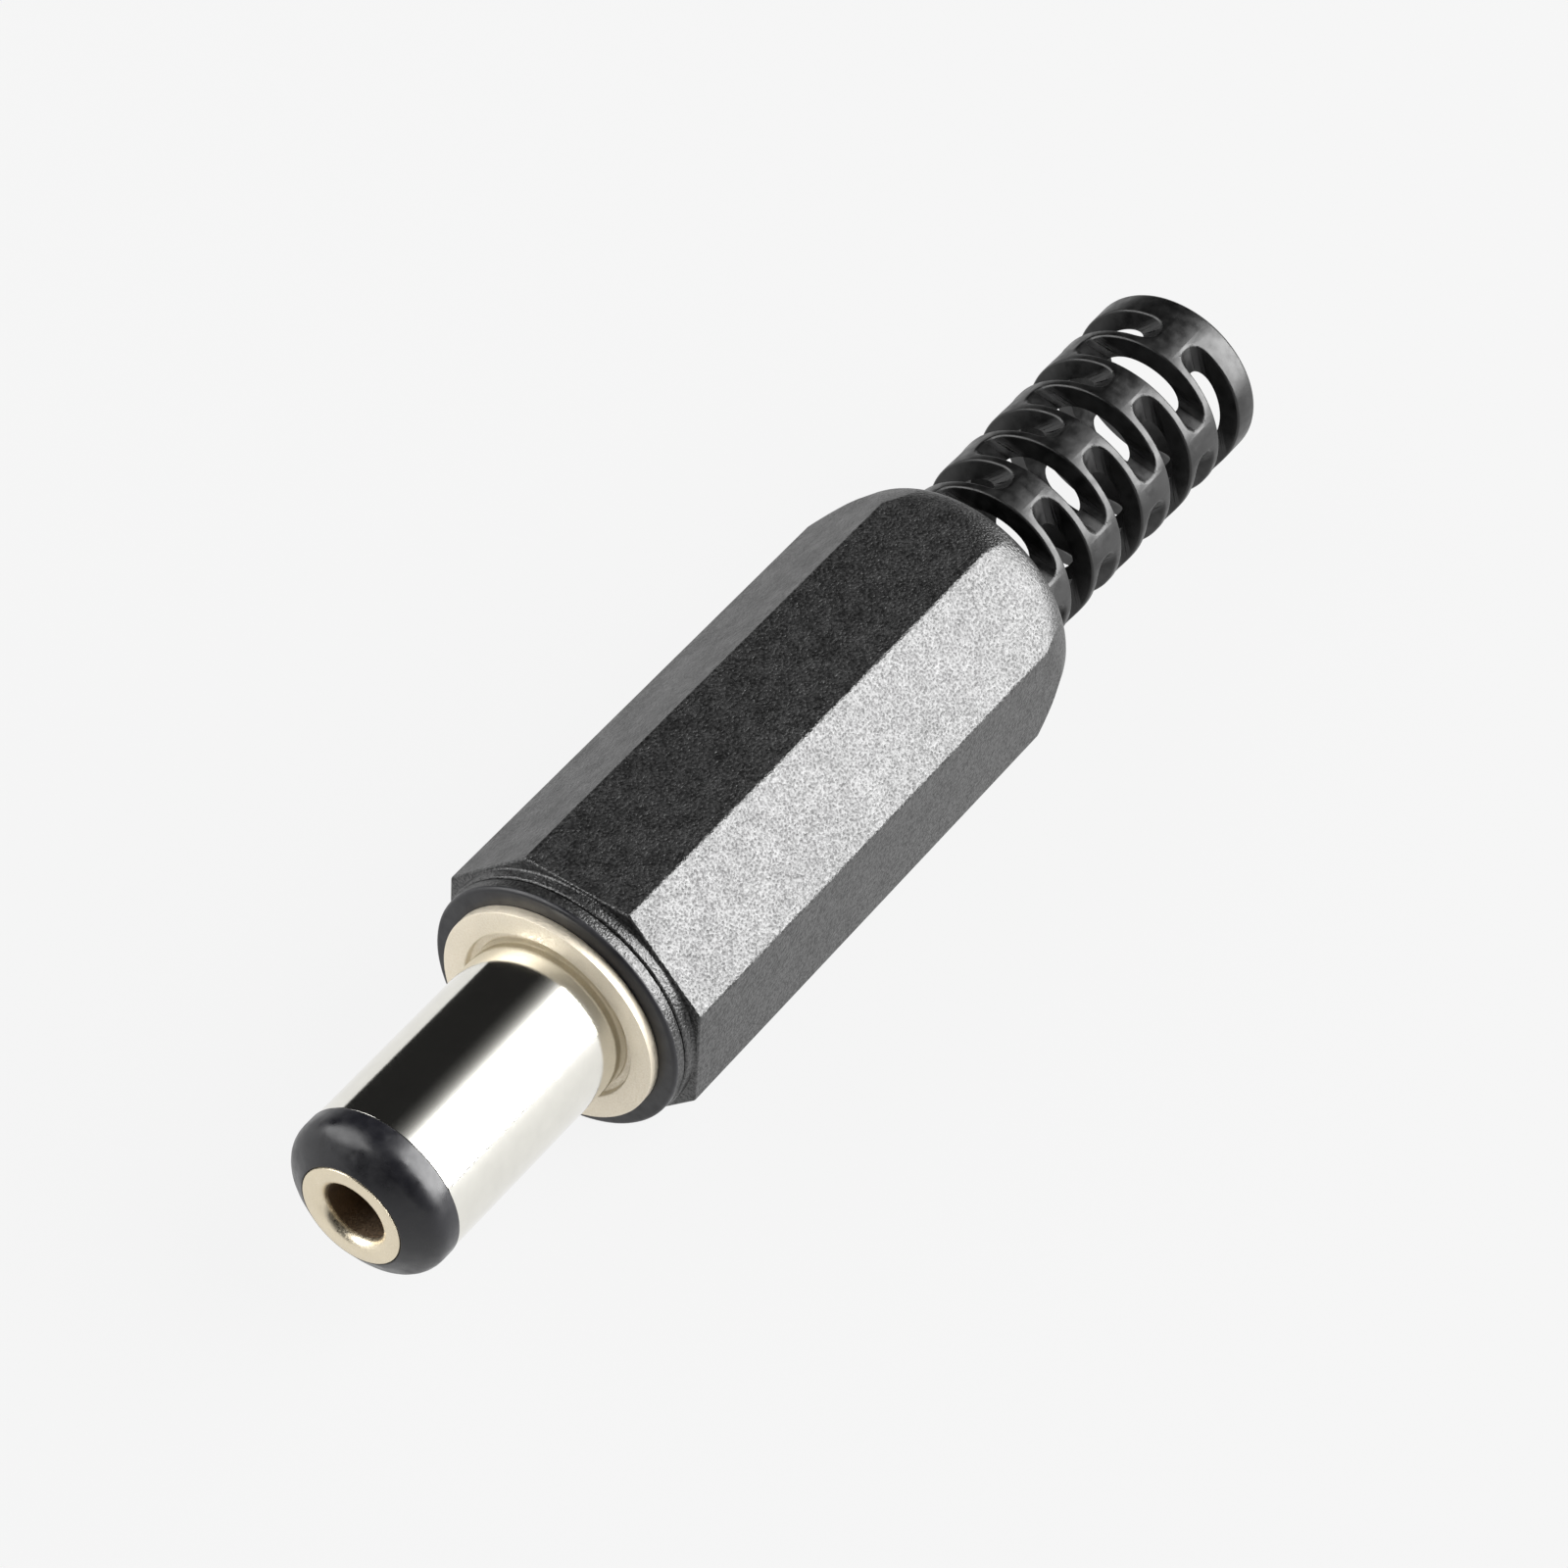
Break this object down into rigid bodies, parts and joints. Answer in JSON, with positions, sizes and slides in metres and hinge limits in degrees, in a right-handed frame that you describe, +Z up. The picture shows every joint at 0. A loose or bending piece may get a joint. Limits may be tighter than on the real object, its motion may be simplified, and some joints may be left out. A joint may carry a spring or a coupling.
{
  "type": "dc barrel plug",
  "caption": "Straight solder-type DC barrel plug with a plated metal barrel, a black octagonal screw-on cover and a slotted cable bend relief.",
  "frame": {"origin": "on the axis of the barrel, at the front face of the metal flange, where the face of a socket stops", "axes": "+X along the axis, out of the mating tip; +Z up, square to the flat of the octagonal cover that the plug lies on"},
  "size_m": [0.0446, 0.0092, 0.0092],
  "materials": {
    "cover_plastic": "black moulded plastic with a fine spark-eroded grain, smoother on the bend relief",
    "base_plastic": "smooth glossy black moulded plastic",
    "nose_plastic": "smooth glossy black moulded plastic",
    "barrel_plating": "bright nickel plate on brass, with a warm cast",
    "contact_plating": "satin pale nickel plate on brass",
    "terminal_plating": "satin tin plate on stamped brass strip",
    "washer_board": "brown fibre board"
  },
  "bodies": {
    "plug": {"plug_base": "base_plastic", "barrel_sleeve": "barrel_plating", "tip_insulator": "nose_plastic", "tip_contact": "contact_plating", "sleeve_terminal": "terminal_plating", "tip_terminal": "terminal_plating", "rear_insulator": "washer_board"},
    "cover": {"cover": "cover_plastic"}
  },
  "joints": [
    {"name": "cover_draw_back", "type": "slide", "parent": "plug", "child": "cover", "axis": [-1, 0, 0], "range_m": [0, 0.02]}
  ]
}
